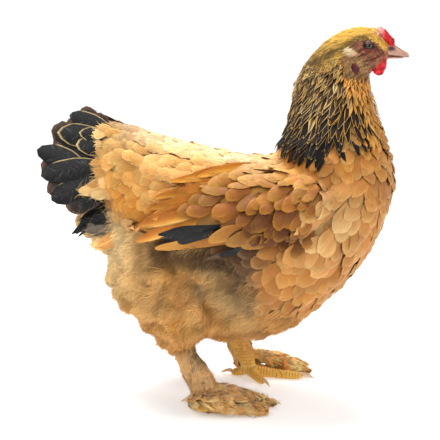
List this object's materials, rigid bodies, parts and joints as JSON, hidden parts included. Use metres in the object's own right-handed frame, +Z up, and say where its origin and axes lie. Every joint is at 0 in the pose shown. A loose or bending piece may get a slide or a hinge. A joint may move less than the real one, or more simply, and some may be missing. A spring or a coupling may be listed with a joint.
{
  "type": "standing brahma hen model",
  "caption": "Life-size standing hen with feathered feet, pea comb, laced hackle, folded wings and fanned dark tail, for display.",
  "frame": {"origin": "on the floor, under the middle of the hen's length and width", "axes": "+X the way the hen faces, +Y its left side, +Z up"},
  "size_m": [0.4428, 0.218, 0.4454],
  "materials": {
    "buff_plumage": "soft matte feathers",
    "fluff": "downy matte feathers",
    "hackle": "narrow satin feathers, dark with pale edges",
    "dark_plumage": "satin dark quills",
    "crown_plumage": "very small soft feathers",
    "face_skin": "fine wrinkled bare skin",
    "comb": "pebbled moist skin",
    "horn": "smooth horn",
    "leg_scales": "scaled skin",
    "eye": "wet gloss"
  },
  "bodies": {
    "root": {"bill_lower": "horn", "bill_upper": "horn", "boot_feathers_left": "fluff", "boot_feathers_right": "fluff", "claw_hind_left": "horn", "claw_hind_right": "horn", "claw_inner_left": "horn", "claw_inner_right": "horn", "claw_middle_left": "horn", "claw_middle_right": "horn", "claw_outer_left": "horn", "claw_outer_right": "horn", "comb": "comb", "ear_lobe_left": "comb", "ear_lobe_right": "comb", "eye_left": "eye", "eye_right": "eye", "head": "crown_plumage", "neck": "hackle", "primaries_left": "dark_plumage", "primaries_right": "dark_plumage", "shank_left": "leg_scales", "shank_right": "leg_scales", "tail_left": "dark_plumage", "tail_right": "dark_plumage", "thigh_left": "fluff", "thigh_right": "fluff", "toe_hind_left": "leg_scales", "toe_hind_right": "leg_scales", "toe_inner_left": "leg_scales", "toe_inner_right": "leg_scales", "toe_middle_left": "leg_scales", "toe_middle_right": "leg_scales", "toe_outer_left": "leg_scales", "toe_outer_right": "leg_scales", "trunk": "buff_plumage", "vent_fluff": "fluff", "wattle_left": "comb", "wattle_right": "comb", "wing_left": "buff_plumage", "wing_right": "buff_plumage"}
  },
  "joints": []
}
